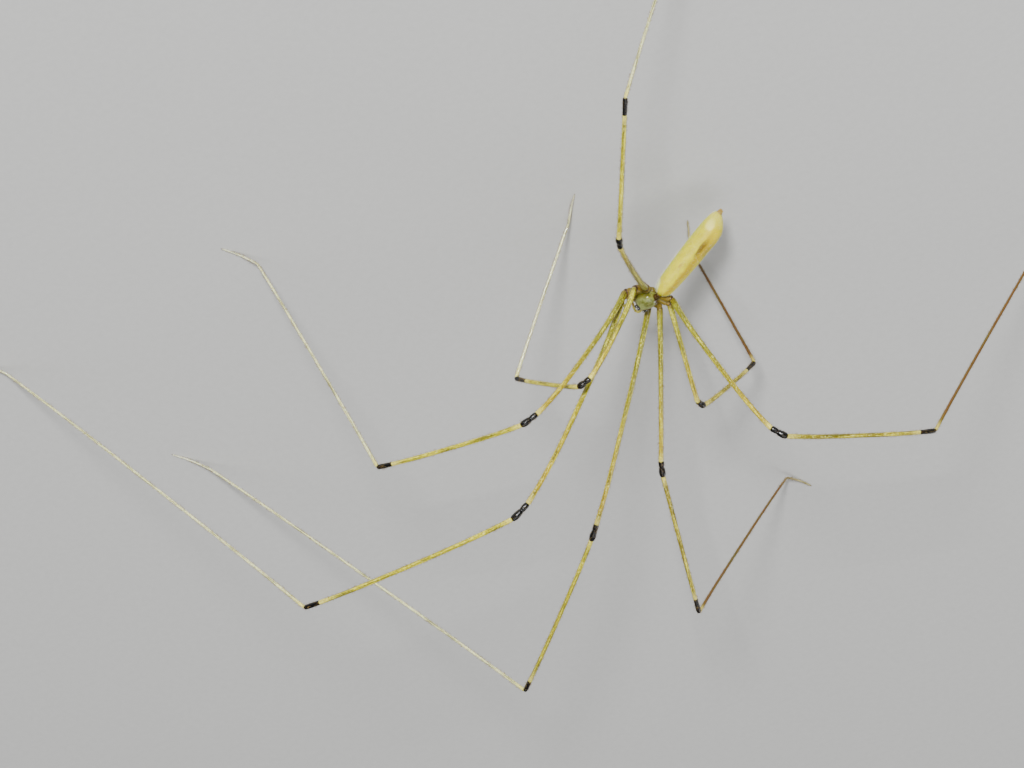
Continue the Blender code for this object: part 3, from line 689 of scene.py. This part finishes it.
def spinneret_parts():
    """A short ring of skin and six cones that lean slightly together."""
    tail_height = (ABDOMEN_BACK[-1] + ABDOMEN_BELLY[-1]) / 2
    tail = (ABDOMEN_LENGTH, 0.0, tail_height) @ abdomen_axes + abdomen_start
    parts = [tube(tail + np.outer(TAIL_RUN, abdomen_along), TAIL_RADII, 28, abdomen_across)]
    for height, gap, radius, length in SPINNERETS:
        for side in (-1, 1):
            foot = tail + (CONE_FOOT, side * gap, height) @ abdomen_axes
            lean = unit((1.0, -0.12 * side, -1.2 * height) @ abdomen_axes)
            path = foot + np.outer(CONE_RUN * length, lean)
            parts.append(tube(path, radius * CONE_WIDTHS, 16, abdomen_across))
    return parts


def tail_finish():
    """Pale horn-coloured cuticle in brown and light patches."""
    finish = Finish("spinneret cuticle", (0.4, 0.15, 0.10, 0.05), {})
    grain = finish.noise(0.03, 3.0)
    finish.mottle(grain, (132, 100, 30), (186, 160, 74))
    return finish.done(grain * 0.2 + 0.35, grain, 0.008)


made_piece("spinneret_cones", *skins(*spinneret_parts()), tail_finish(), "spinnerets", ["spinnerets"])

# Legs: each is one jointed tube from its coxa under the carapace to its toe, with the thick short
# coxa and trochanter, a long femur, a black knee, a long tibia with a black end, a metatarsus like
# a wire and a tarsus of many false joints. The tube narrows in a groove at each joint, where soft skin lies.
ROOT_REACH = 1.30
ROOT_SPREAD = 1.42
ROOT_DROP = 0.09
ROOT_ANGLE = {1: 44.5, 2: 71.5, 3: 106.0, 4: 134.0}
COXA_START = 0.35
TROCHANTER_LENGTH = 0.17
# The lengths of the femur, knee, tibia, metatarsus and tarsus of each pair
LEG_LENGTHS = {
    1: (13.60, 1.20, 13.85, 22.50, 2.50),
    2: (9.95, 1.05, 9.67, 13.30, 2.20),
    3: (6.50, 0.80, 5.93, 9.04, 2.05),
    4: (9.55, 1.00, 9.33, 14.60, 2.10),
}
# The heading and rise of the femur and of the tibia, and the headings of metatarsus and tarsus
STANCE = {
    "right_1": ((-15.0, 60.0), (-3.5, -3.0), -47.7, -63.5),
    "right_2": ((-40.5, 56.0), (-2.5, -12.0), -78.4, -66.0),
    "right_3": ((-30.5, 62.5), (11.0, -38.0), -163.4, -138.0),
    "right_4": ((-115.0, 25.0), (-130.0, -10.0), -150.0, -155.0),
    "left_1": ((36.5, 25.5), (36.0, 3.5), -65.4, -66.0),
    "left_2": ((51.5, 21.5), (64.5, 19.5), 119.5, 99.0),
    "left_3": ((66.0, 21.5), (111.5, -48.0), -103.2, -123.5),
    "left_4": ((124.5, 60.0), (122.5, -12.5), 172.0, 177.0),
}
# Legs whose tibiae and metatarsi take darker tones as painted shade; their tarsi stay pale.
SHADE_PAINTED_LEGS = ("left_2", "left_3", "left_4")
LEG_SIDES = 18
COXA, TROCHANTER, FEMUR, KNEE, TIBIA, METATARSUS, TARSUS = range(7)
SEGMENT_BOW = {FEMUR: 0.028, TIBIA: 0.015, METATARSUS: -0.006}
ANKLE_HEIGHT = 0.42
TOE_RADIUS = 0.034
# Radii along each segment, as shares of its length and millimetres
SEGMENT_RADII = {
    COXA: ((0.0, 0.25, 0.60, 0.90, 1.0), (0.13, 0.19, 0.235, 0.245, 0.215)),
    TROCHANTER: ((0.0, 0.3, 0.7, 1.0), (0.200, 0.205, 0.195, 0.180)),
    FEMUR: ((0.0, 0.03, 0.10, 0.30, 0.60, 0.92, 0.97, 1.0),
            (0.170, 0.178, 0.160, 0.142, 0.136, 0.132, 0.145, 0.150)),
    KNEE: ((0.0, 0.15, 0.32, 0.40, 0.48, 0.72, 0.90, 1.0),
           (0.155, 0.168, 0.160, 0.128, 0.168, 0.198, 0.175, 0.140)),
    TIBIA: ((0.0, 0.03, 0.2, 0.88, 0.97, 1.0), (0.138, 0.136, 0.126, 0.120, 0.145, 0.128)),
    METATARSUS: ((0.0, 0.02, 0.15, 0.6, 1.0), (0.096, 0.096, 0.082, 0.074, 0.066)),
    TARSUS: ((0.0, 0.1, 0.6, 0.8, 0.95, 1.0), (0.064, 0.062, 0.053, 0.044, 0.033, 0.030)),
}
JOINT_GROOVE = 0.20
FALSE_JOINT_DEPTH = 0.07
FALSE_JOINT_GAP = 0.13
TOE_ROUNDING = (0.95, 0.75, 0.40)
LINE_STEP = 0.02
MEAN_REACH = 12
MEAN_WIDTH = 5.6
# Gaps between rings within a near and a middling distance of a joint, farther off, and on a tarsus
NEAR_JOINT, MIDDLING = 0.3, 1.0
NEAR_GAP, MIDDLING_GAP, FAR_GAP, TARSUS_GAP = 0.04, 0.14, 0.42, 0.03
BLACK_TIP = 1.0
BLACK_PAST_TIP = 0.04
# Where along the segments, counted from the coxa, the tones of the leg's finish lie
TONE_SEGMENTS = (0, 1, 2, 2.15, 3, 4, 4.5, 5, 5.2, 6, 7)
TONE_SHARES = (0.0, 0.1, 0.2, 0.25, 0.4, 0.5, 0.58, 0.65, 0.72, 0.9, 1.0)
# The side and the length of each claw
CLAWS = ((-0.018, 0.075), (0.018, 0.075), (0.0, 0.045))
CLAW_RADIUS = 0.009
BRISTLES_PER_MM = 62
BRISTLE_ROWS = 14
BRISTLE_RADIUS = 0.0062
LOWEST_HAIR = 0.006


def lowered(start, length, degrees, height):
    """The end of a segment of this length and heading that comes down to a height."""
    drop = start[2] - height
    return start + math.sqrt(length ** 2 - drop ** 2) * heading(degrees) - (0.0, 0.0, drop)


def bowed(start, end, bow, share):
    """A nearly straight run that bends most near its ends, bowed upwards."""
    run = end - start
    up = unit(np.cross(np.cross(run, (0.0, 0.0, 1.0)), run))
    rise = bow * np.linalg.norm(run) * (1.0 - np.abs(2 * share - 1) ** 3)
    return start + np.outer(share, run) + np.outer(rise, up)


def leg_line(name):
    """The middle line of a leg in fine steps, with each step's segment and its distances in it.

    The line runs through the coxa and trochanter, the bowed femur, the knee, the bowed tibia and
    metatarsus, and the tarsus, which eases down to the floor. Its corners are then rounded by a
    moving bell-shaped mean over about a tenth of a millimetre.
    """
    thigh, shin, ankle_heading, toe_heading = STANCE[name]
    side, pair = (1 if name.startswith("left") else -1), int(name[-1])
    femur, knee, tibia, metatarsus, tarsus = LEG_LENGTHS[pair]
    angle = math.radians(ROOT_ANGLE[pair])
    root = body_place((ROOT_REACH * math.cos(angle), side * ROOT_SPREAD * math.sin(angle), -ROOT_DROP))
    inside = body_place((0.0, 0.0, -COXA_HUB_DROP))
    outward = unit(root - inside)
    joints = [inside + COXA_START * outward, root - TROCHANTER_LENGTH * outward, root]
    upper, lower = heading(*thigh), heading(*shin)
    for length, way in ((femur, upper), (knee, unit(upper + lower)), (tibia, lower)):
        joints.append(joints[-1] + length * way)
    joints.append(lowered(joints[-1], metatarsus, ankle_heading, ANKLE_HEIGHT))
    joints.append(lowered(joints[-1], tarsus, toe_heading, TOE_RADIUS))
    rows = []
    for segment in SEGMENT_RADII:
        start, end = joints[segment], joints[segment + 1]
        share = np.linspace(0.0, 1.0, max(int(np.linalg.norm(end - start) / LINE_STEP), 6) + 1)
        line = bowed(start, end, SEGMENT_BOW.get(segment, 0.0), share)
        if segment == KNEE:
            line = line + 0.3 * knee * np.outer(share ** 2 * (1.0 - share), upper - lower)
        if segment == TARSUS:
            line[:, 2] = end[2] + (start[2] - end[2]) * (1.0 - share) ** 2
        run = np.cumsum(steps(line))
        row = np.column_stack([line, np.full(len(line), segment), run, run[-1] - run])
        rows.append(row if segment == TARSUS else row[:-1])
    rows = np.concatenate(rows)
    line = rows[:, :3]
    weights = bell(np.arange(-MEAN_REACH, MEAN_REACH + 1), 0.0, MEAN_WIDTH)
    padded = np.pad(line, ((MEAN_REACH, MEAN_REACH), (0, 0)), "edge")
    rounded = np.stack([np.convolve(axis, weights / weights.sum(), "valid") for axis in padded.T], axis=1)
    rounded[0], rounded[-1] = line[0], line[-1]
    return rounded, *rows[:, 3:].T


def leg_rings(name):
    """Rings round a leg's line: close together at the joints and false joints, wide apart between."""
    line, segment, start, end = leg_line(name)
    near = np.minimum(start, end)
    wanted = np.where(near < NEAR_JOINT, NEAR_GAP, np.where(near < MIDDLING, MIDDLING_GAP, FAR_GAP))
    wanted = np.where(np.isin(segment, (COXA, TROCHANTER, KNEE)), NEAR_GAP, wanted)
    wanted = np.where(segment == TARSUS, TARSUS_GAP, wanted)
    ticks = np.cumsum(steps(line) / wanted)
    picked = np.unique(np.searchsorted(ticks, np.arange(0.0, ticks[-1], 1.0)))
    picked = np.append(picked[picked < len(line) - 1], len(line) - 1)
    line, segment, start, end = line[picked], segment[picked], start[picked], end[picked]
    radius = np.zeros(len(line))
    for number, (places, widths) in SEGMENT_RADII.items():
        radius = np.where(segment == number, np.interp(start / (start + end), places, widths), radius)
    joint = np.where(segment == COXA, end, np.minimum(start, end))
    radius = radius * (1.0 - JOINT_GROOVE * bell(joint, 0.0, 0.035))
    waves = 1.0 - FALSE_JOINT_DEPTH * np.cos(start * math.tau / FALSE_JOINT_GAP)
    radius = radius * np.where(segment == TARSUS, waves, 1.0)
    radius[-3:] *= TOE_ROUNDING
    onward = unit(np.gradient(line, axis=0))
    rings = tube(line, radius, LEG_SIDES, np.linalg.svd(onward)[2][2])
    run = np.cumsum(steps(line))
    return marked(rings, *leg_marks(segment, start, end, run)), line, radius, onward, run


def leg_marks(segment, start, end, run):
    """Two marks: distance from the nearest black stretch, kind of segment and distance from the root
    joint, and then the direction round the leg with the distance along it."""
    knee_run = run[segment == KNEE]
    tip_run = run[segment == TIBIA][-1]
    to_knee = np.maximum(knee_run[0] - run, run - knee_run[-1])
    to_tip = np.maximum(tip_run - BLACK_TIP - run, run - tip_run - BLACK_PAST_TIP)
    from_root = run - run[segment == FEMUR][0]
    tone = np.interp(segment + start / (start + end), TONE_SEGMENTS, TONE_SHARES)
    turn = circle(LEG_SIDES)
    return (grid(np.minimum(to_knee, to_tip)[:, None], tone[:, None], from_root[:, None]),
            grid(np.cos(turn), np.sin(turn), run[:, None]))


def leg_finish(name, shin_tone, wire_tone, toe_tone):
    """Golden olive with long streaks, black and glossy at the knee and tibia end, pale beside them, and
    painted highlights as pale streaks and white dots.
    """
    finish = Finish(name, (0.25, 0.18, 0.13, 0.05), {"Specular IOR Level": 0.3, "Coat Roughness": 0.10})
    black_gap, tone_share, root_gap = finish.mark("place")
    cosine, sine, run = finish.mark("streak")
    streak = finish.noise(0.55, 3.0, 0.6, (cosine * 0.9, sine * 0.9, run * 0.35))
    speck = finish.noise(0.11, 3.0, 0.7, (cosine * 0.16, sine * 0.16, run))
    grain = finish.noise(0.02)
    finish.tone = finish.add("ShaderNodeValToRGB", {"stops": (
        (0.02, (120, 104, 14)), (0.16, (124, 98, 8)), (0.20, (74, 36, 4)), (0.22, (144, 146, 0)),
        (0.29, (162, 158, 0)), (0.38, (178, 154, 0)), (0.47, (188, 182, 14)), (0.50, shin_tone),
        (0.62, shin_tone), (0.68, wire_tone), (0.88, wire_tone), (0.95, toe_tone))}, {0: tone_share})
    finish.paint(streak.rise(0.50, 0.38) * 0.8, (84, 84, 2))
    thick = tone_share.rise(0.18, 0.24) * tone_share.rise(0.67, 0.62)
    # Pale streaks along the femora and tibiae are painted highlights, where light would glint along the tube.
    finish.paint(streak.rise(0.53, 0.62) * thick * 0.75, (232, 226, 70))
    finish.paint(speck.rise(0.52, 0.62) * 0.5, (92, 74, 4))
    # White dots on the femora and tibiae are painted glints.
    finish.paint(speck.rise(0.45, 0.38) * thick * 0.5, (246, 242, 150))
    rim = abs(root_gap + 0.02).rise(0.07, 0.025)
    finish.paint(rim * 0.9, (52, 22, 4))
    pale = black_gap.rise(0.75, 0.15)
    finish.paint(pale * 0.5, (238, 226, 120))
    black = (black_gap + (speck - 0.5) * 0.10).rise(0.035, -0.02)
    finish.paint(black, (7, 6, 5))
    roughness = 0.38 - black * 0.20 + grain * 0.12
    return finish.done(roughness, streak + grain * 0.6, 0.008, 0.6 - black * 0.3)


def bristle_finish(name, first, second):
    """Thin horn that lets some light through."""
    finish = Finish(name, (0.2, 0.001, 0.0005, 0.0005), {})
    finish.paint(finish.noise(0.3), first, second)
    return finish.done(0.42)


def leaning(outward, onward, lean, bend):
    """The directions in which hairs leave their roots and end. They lean onward and bend that way."""
    return [unit(outward * np.sin(lean + turn) + onward * np.cos(lean + turn)) for turn in (bend, -bend)]


def hair_mesh(root, start, finish, length, radius, unrolled):
    """Points, faces and map places of hairs that leave their roots one way and end another.

    Each is a thin three-sided spike with a base triangle in the skin, a middle triangle and a point.
    None reaches under the floor. Its patch on the coat's map lies where its root is on the unrolled
    skin.
    """
    side = unit(np.cross(start, (0.37, -0.61, 0.70)))
    turn = circle(3)[:, None]
    ring = side[:, None] * np.cos(turn) + np.cross(start, side)[:, None] * np.sin(turn)
    middle = root + start * (length * 0.5)[:, None]
    middle[:, 2] = np.maximum(middle[:, 2], LOWEST_HAIR)
    tip = middle + finish * (length * 0.5)[:, None]
    tip[:, 2] = np.maximum(tip[:, 2], LOWEST_HAIR)
    points = np.concatenate([root[:, None] + radius * ring, middle[:, None] + 0.7 * radius * ring,
                             tip[:, None]], axis=1)
    first = (np.arange(len(root)) * 7)[:, None, None]
    quads = np.array([[0, 1, 4, 3], [1, 2, 5, 4], [2, 0, 3, 5]])
    fans = np.array([[2, 1, 0], [3, 4, 6], [4, 5, 6], [5, 3, 6]])
    patch = 0.0015 * np.array([[-1, -1], [0, -1], [1, -1], [-1, 0], [0, 0], [1, 0], [0, 1]])
    places = np.clip(unrolled, 0.002, 0.998)[:, None] + patch
    blocks = [(first + quads).reshape(-1, 4), (first + fans).reshape(-1, 3)]
    return points.reshape(-1, 3), blocks, places.reshape(-1, 2)


def coat_piece(name, coat, finish, slot):
    """A piece of hairs, with the coat's map on it."""
    points, blocks, places = coat
    made = made_piece(name, points, blocks, finish, slot)
    corners = np.empty(len(made.data.loops), dtype=np.int32)
    made.data.loops.foreach_get("vertex_index", corners)
    layer = made.data.uv_layers.new(name="OFBake")
    layer.data.foreach_set("uv", places[corners].astype(np.float32).ravel())


def leg_hairs(rings, line, radius, onward, run, seed):
    """Fine bristles along a leg in rough rows, which lean and bend toward the toe."""
    random = np.random.default_rng(seed)
    count = int(run[-1] * BRISTLES_PER_MM)
    at = np.sort(random.uniform(1.3, run[-1] - 0.05, count))
    rows = random.integers(0, BRISTLE_ROWS, count) / BRISTLE_ROWS * math.tau
    angle = rows + random.normal(0.0, 0.10, count)
    centre, tangent, across = (
        np.stack([np.interp(at, run, column) for column in values.T], axis=1)
        for values in (line, onward, unit(rings[:, 0, :3] - line)))
    tangent = unit(tangent)
    across = unit(across - tangent * np.sum(across * tangent, axis=1, keepdims=True))
    outward = across * np.cos(angle)[:, None] + np.cross(across, tangent) * np.sin(angle)[:, None]
    width = np.interp(at, run, radius)
    length = random.uniform(0.10, 0.20, count) * np.interp(width, (0.03, 0.06, 0.15), (0.55, 0.9, 1.0))
    lean = np.radians(random.uniform(32.0, 52.0, count))[:, None]
    root = centre + outward * (width - 0.008)[:, None]
    unrolled = np.stack([np.mod(angle / math.tau, 1.0), at / run[-1]], axis=1)
    return hair_mesh(root, *leaning(outward, tangent, lean, 0.25), length, BRISTLE_RADIUS, unrolled)


def claw_parts(line, onward):
    """Two curved side claws and a small middle one under the tip of a leg."""
    tip, ahead = line[-1], unit(onward[-1] * (1.0, 1.0, 0.0))
    sideways = np.cross((0.0, 0.0, 1.0), ahead)
    run = np.linspace(0.0, 1.0, 7)
    height = 0.012 * np.sin(run * math.pi * 0.8) - run ** 2 * (TOE_RADIUS - 0.004)
    parts = []
    for offset, length in CLAWS:
        path = (tip - 0.015 * ahead + sideways * offset + np.outer(run * length, ahead)
                + np.outer(height, (0.0, 0.0, 1.0)))
        parts.append(marked(tube(path, CLAW_RADIUS * (1.0 - 0.85 * run), 8, sideways), (0.5, 0.0, 0.0)))
    return parts


pale_leg = leg_finish("pale-footed leg cuticle", (190, 182, 14), (236, 236, 176), (240, 240, 204))
# The second leg finish is a copy with painted shade: darker olive tibiae and dark brown metatarsi.
shade_painted_leg = leg_finish("leg cuticle with painted shade", (146, 132, 6), (100, 62, 8), (196, 186, 130))
bristle = bristle_finish("leg bristles", (98, 70, 24), (168, 138, 70))
claws = []
for seed, leg in enumerate(STANCE):
    rings, line, radius, onward, run = leg_rings(leg)
    solids = [f"{leg}_{part}" for part in ("femur", "patella", "tibia", "metatarsus", "tarsus")]
    finish = shade_painted_leg if leg in SHADE_PAINTED_LEGS else pale_leg
    made_piece(f"{leg}_leg", *skins(rings), finish, "upper_leg", solids)
    hairs = leg_hairs(rings, line, radius, onward, run, seed)
    coat_piece(f"{leg}_bristles", hairs, bristle, "upper_leg")
    claws += claw_parts(line, onward)
made_piece("claws", *skins(*claws), fang_dark, "lower_leg")

# Body hairs: fine pale hairs stand all over the abdomen, longest under its front, and shorter dark
# ones on the carapace. Each grows from a socket in the skin. Those of the abdomen lean backward and
# those of the carapace forward.
ABDOMEN_HAIRS = 2600
ABDOMEN_HAIR_RADIUS = 0.0048
CARAPACE_HAIRS = 120
CARAPACE_HAIR_RADIUS = 0.0042


def abdomen_coat():
    """Hairs whose roots are drawn over the rings of the abdomen by chance."""
    random = np.random.default_rng(21)
    surface = abdomen[WAIST_ROWS:, :, :3]
    count, sides = surface.shape[:2]
    gaps = steps(surface.mean(axis=1))[1:]
    ring = random.choice(count - 1, ABDOMEN_HAIRS, p=gaps / gaps.sum())
    place = random.integers(0, sides, ABDOMEN_HAIRS)
    t, u = random.uniform(size=(2, ABDOMEN_HAIRS, 1))
    after = (place + 1) % sides
    a, b = surface[ring, place], surface[ring, after]
    c, d = surface[ring + 1, place], surface[ring + 1, after]
    root = (1 - t) * ((1 - u) * a + u * b) + t * ((1 - u) * c + u * d)
    normal = unit(np.cross(b - a, c - a))
    middle = surface[ring].mean(axis=1)
    normal *= np.sign(np.sum(normal * (root - middle), axis=1, keepdims=True))
    share = (root - abdomen_start) @ abdomen_along / ABDOMEN_LENGTH
    under = np.clip(-normal @ abdomen_up, 0.0, 1.0)
    length = random.uniform(0.05, 0.11, ABDOMEN_HAIRS) * (1.0 + 1.6 * under * (share < 0.45))
    lean = np.radians(random.uniform(38.0, 66.0, ABDOMEN_HAIRS))[:, None]
    unrolled = np.stack([(place + u[:, 0]) / sides, (ring + t[:, 0]) / count], axis=1)
    directions = leaning(normal, abdomen_along, lean, 0.2)
    return hair_mesh(root - 0.01 * normal, *directions, length, ABDOMEN_HAIR_RADIUS, unrolled)


def carapace_coat():
    """Sparse short hairs over the dome and the head."""
    random = np.random.default_rng(22)
    away = np.sqrt(random.uniform(0.0, 0.93, CARAPACE_HAIRS))
    turn = random.uniform(0.0, math.tau, CARAPACE_HAIRS)
    spread = np.stack([away * np.cos(turn), away * np.sin(turn)], axis=1)
    x, y = (spread * CARAPACE_HALF + (CARAPACE_FORWARD, 0.0)).T
    normal = carapace_upward(x, y, step=0.01)
    root = body_place(np.stack([x, y, carapace_top(x, y)], axis=1) - 0.008 * normal)
    start = unit(normal + (0.25, 0.0, 0.0)) @ BODY_TURN.T
    finish = unit(normal * 0.7 + (0.7, 0.0, 0.0)) @ BODY_TURN.T
    length = random.uniform(0.05, 0.11, CARAPACE_HAIRS)
    return hair_mesh(root, start, finish, length, CARAPACE_HAIR_RADIUS, 0.5 + 0.45 * spread)


pale_hair = bristle_finish("pale hairs", (226, 220, 176), (246, 244, 226))
coat_piece("abdomen_hairs", abdomen_coat(), pale_hair, "abdomen")
coat_piece("carapace_hairs", carapace_coat(), bristle, "carapace")

# Studio: a pale level floor, soft lights and a camera. The camera looks at the body from above, from
# behind and from its right, and is rolled nearly upside down, so that the legs hang in the picture.
FLOOR_HALF = 1.5
SIGHT_RIGHT = Vector((-0.78525, 0.61350, 0.08369))
SIGHT_UP = Vector((-0.43302, -0.44751, -0.78245))
SIGHT_BACK = Vector((-0.44258, -0.65066, 0.61707))
AIM_FROM_BODY = np.array([7.86, -2.489, 3.04])
CAMERA_DISTANCE = 260.0
HALF_VIEW = 28.16
# Each light's name, place in metres, width in metres and power
LIGHTS = (("key", (-0.17, -0.31, 0.19), 0.05, 2.6), ("top", (-0.04, 0.0, 0.42), 0.40, 1.0),
          ("rim", (-0.12, 0.36, 0.18), 0.18, 0.4))
ROOM_LIGHT = 0.18


def floor_finish():
    """Matt pale grey card with a trace of tooth."""
    finish = Finish("floor", None, {})
    tooth = finish.noise(0.4, 4.0)
    finish.paint(tooth, (186, 186, 184), (196, 196, 194))
    return finish.done(0.75, tooth, 0.01)


def soft_light(name, place, size, power):
    """A square area light that faces the body."""
    lamp = bpy.data.lights.new(name, "AREA")
    lamp.energy, lamp.size = power, size
    lit = set_out(name, lamp)
    lit.location = place
    lit.rotation_euler = Vector(place).to_track_quat("Z", "Y").to_euler()


floor_corners = [(FLOOR_HALF * x, FLOOR_HALF * y, 0.0) for x, y in ((-1, -1), (1, -1), (1, 1), (-1, 1))]
floor_mesh = bpy.data.meshes.new("floor")
floor_mesh.from_pydata(floor_corners, [], [(0, 1, 2, 3)])
floor_mesh.materials.append(floor_finish())
floor = set_out("floor", floor_mesh)
for light in LIGHTS:
    soft_light(*light)
world = bpy.data.worlds.new("studio")
world.use_nodes = True
background = world.node_tree.nodes["Background"]
background.inputs["Color"].default_value = (1.0, 1.0, 1.0, 1.0)
background.inputs["Strength"].default_value = ROOM_LIGHT
scene.world = world
lens_data = bpy.data.cameras.new("camera")
lens_data.sensor_width = 36.0
lens_data.angle = 2 * math.atan(HALF_VIEW / CAMERA_DISTANCE)
lens_data.clip_start = 0.001
lens_data.clip_end = 10.0
camera = set_out("camera", lens_data)
aim = Vector(((BODY_MIDDLE + AIM_FROM_BODY) * MM).tolist())
view = Matrix((SIGHT_RIGHT, SIGHT_UP, SIGHT_BACK)).transposed().to_4x4()
view.translation = aim + SIGHT_BACK * CAMERA_DISTANCE * MM
camera.matrix_world = view
scene.camera = camera
